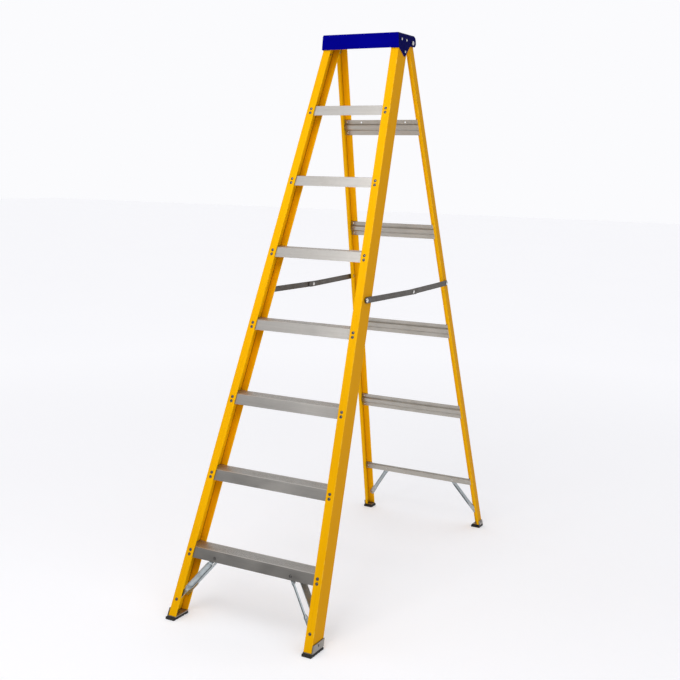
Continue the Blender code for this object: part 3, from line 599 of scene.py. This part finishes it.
def cap_ribs():
    """Drafted ribs under the top cap, between the stiles."""
    low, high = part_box("top_cap")
    ceiling = high.z - CAP_COVER
    root, edge = ceiling + SUNK, ceiling - RIB_DEPTH
    half = ((RIB_ROOT, root), (RIB_DRAFT, edge + RIB_ROUND), (RIB_TIP, edge))
    section = half + tuple((-across, z) for across, z in reversed(half))
    face, back = low.y + CAP_COVER, high.y - CAP_BACK
    runs = [((-RIB_REACH, y), (RIB_REACH, y)) for y in
            (face + (back - face) * share for share in RIB_ROWS)]
    runs += [((x, face), (x, back)) for x in
             (-RIB_REACH + 2 * RIB_REACH * k / RIB_GAPS for k in range(RIB_GAPS + 1))]
    made = bmesh.new()
    for (xa, ya), (xb, yb) in runs:
        across = Vector((yb - ya, xa - xb, 0.0)).normalized()
        rings = [[made.verts.new(Vector((x, y, z)) + across * a) for a, z in section]
                 for x, y in ((xa, ya), (xb, yb))]
        for k in range(len(section)):
            j = (k + 1) % len(section)
            made.faces.new((rings[0][k], rings[0][j], rings[1][j], rings[1][k]))
        made.faces.new(rings[0][::-1])
        made.faces.new(rings[1])
    piece("cap_ribs", made, blue, "front_frame")


cap_ribs()


# ---------------------------------------------------------------- floor, light, camera
WHITE = (0.965, 0.965, 0.985)
FLOOR_SIZE = 30.0
FLOOR_TONES = (0.86, 0.86, 0.875), (0.88, 0.88, 0.895)
# The floor's own glow near the ladder and far from it, and the distances between which it changes.
FLOOR_GLOW, FLOOR_GLOW_FAR = 0.16, 0.27
FLOOR_FADE = (0.9, 4.5)
# Where each part of the room begins and is full, as the direction's Y, X or Z, and how bright it is.
SWEEP_FROM, SWEEP_TO, SWEEP = 0.0, 0.7, 0.66
SIDE_FROM, SIDE_TO, SIDE = 0.55, 0.92, 0.45
OVERHEAD_FROM, OVERHEAD_TO, OVERHEAD = 0.30, 0.56, 0.92
ROOM = 0.07
# Each area light: its name, place, aim, two sizes, power and upward direction.
UP = (0.0, 0.0, 1.0)
AREA_LIGHTS = (("key", (0.2, -3.4, 3.6), (0.0, -0.2, 1.5), (2.0, 2.0), 31.0, UP),
               ("inner", (0.06, -0.52, 1.05), (-0.22, -0.25, 1.02), (0.06, 1.7), 0.36,
                (0.0, front.lean, 1.0)),
               ("near", (0.12, -1.15, 2.0), (-0.1, -0.2, 1.1), (0.7, 0.7), 4.5, UP))
SENSOR, FOCAL_PIXELS, FRAME_PIXELS = 36.0, 1056.1, 680.0
CAMERA_PLACE = (1.7189, -3.2138, 1.4183)
CAMERA_PAN, CAMERA_TILT, CAMERA_ROLL = 0.5004, 0.1601, 0.0213


def stage():
    """A plain pale floor that brightens with distance until it meets the sweep."""
    floor = bmesh.new()
    bmesh.ops.create_grid(floor, x_segments=2, y_segments=2, size=FLOOR_SIZE)
    data = bpy.data.meshes.new("floor")
    floor.to_mesh(data)
    floor.free()
    obj = bpy.data.objects.new("floor", data)
    bpy.context.scene.collection.objects.link(obj)
    g = Graph("studio_floor")
    x, y, _ = g.split(g.object_co)
    away = g.math("SQRT", g.math("MULTIPLY_ADD", x, x, g.product(y, y)))
    tone = g.noise(g.object_co, 0.8, 2.0, 0.4)
    g.surface(g.mix(tone, *FLOOR_TONES), 0.9, 0.0, Specular_IOR_Level=0.1, Emission_Color=(*WHITE, 1.0))
    g.feed(g.shader.inputs["Emission Strength"], g.ramp(away, *FLOOR_FADE, FLOOR_GLOW, FLOOR_GLOW_FAR))
    obj.data.materials.append(g.material)


def area_light(name, place, aim, size, power, up):
    light = bpy.data.lights.new(name, "AREA")
    light.shape = "RECTANGLE"
    light.size, light.size_y = size
    light.energy = power
    obj = bpy.data.objects.new(name, light)
    obj.location = place
    back = (Vector(place) - Vector(aim)).normalized()
    across = Vector(up).cross(back).normalized()
    obj.rotation_euler = Matrix((across, back.cross(across), back)).transposed().to_euler()
    obj.visible_camera = False
    bpy.context.scene.collection.objects.link(obj)


def lights():
    """A white sweep behind the ladder, light from above and the right, a dim room, three area lights."""
    world = bpy.data.worlds.new("studio")
    world.use_nodes = True
    tree = Tree(world.node_tree)
    x, y, z = tree.split(tree.node("ShaderNodeTexCoord").outputs["Generated"])
    sweep = tree.ramp(y, SWEEP_FROM, SWEEP_TO, 0.0, SWEEP, "SMOOTHSTEP")
    overhead = tree.ramp(z, OVERHEAD_FROM, OVERHEAD_TO, ROOM, OVERHEAD, "SMOOTHSTEP")
    side = tree.ramp(x, SIDE_FROM, SIDE_TO, 0.0, SIDE, "SMOOTHSTEP")
    lit = tree.math("MAXIMUM", tree.math("MAXIMUM", sweep, side), overhead)
    # The sweep itself is plain white where the camera looks straight at it.
    seen = tree.node("ShaderNodeLightPath").outputs["Is Camera Ray"]
    background = world.node_tree.nodes["Background"]
    tree.feed(background.inputs["Color"], WHITE)
    tree.feed(background.inputs["Strength"], tree.math("MAXIMUM", lit, seen))
    bpy.context.scene.world = world
    for light in AREA_LIGHTS:
        area_light(*light)


def display():
    """Plain display colours, as a product photograph has."""
    scene = bpy.context.scene
    scene.view_settings.view_transform = "Standard"
    scene.view_settings.look = "None"


def camera():
    data = bpy.data.cameras.new("camera")
    data.sensor_width = SENSOR
    data.lens = SENSOR * FOCAL_PIXELS / FRAME_PIXELS
    obj = bpy.data.objects.new("camera", data)
    obj.location = CAMERA_PLACE
    turn = (Matrix.Rotation(CAMERA_PAN, 4, "Z") @ Matrix.Rotation(math.pi / 2 - CAMERA_TILT, 4, "X")
            @ Matrix.Rotation(CAMERA_ROLL, 4, "Z"))
    obj.rotation_euler = turn.to_euler()
    bpy.context.scene.collection.objects.link(obj)
    bpy.context.scene.camera = obj


stage()
lights()
display()
camera()
bpy.context.view_layer.update()
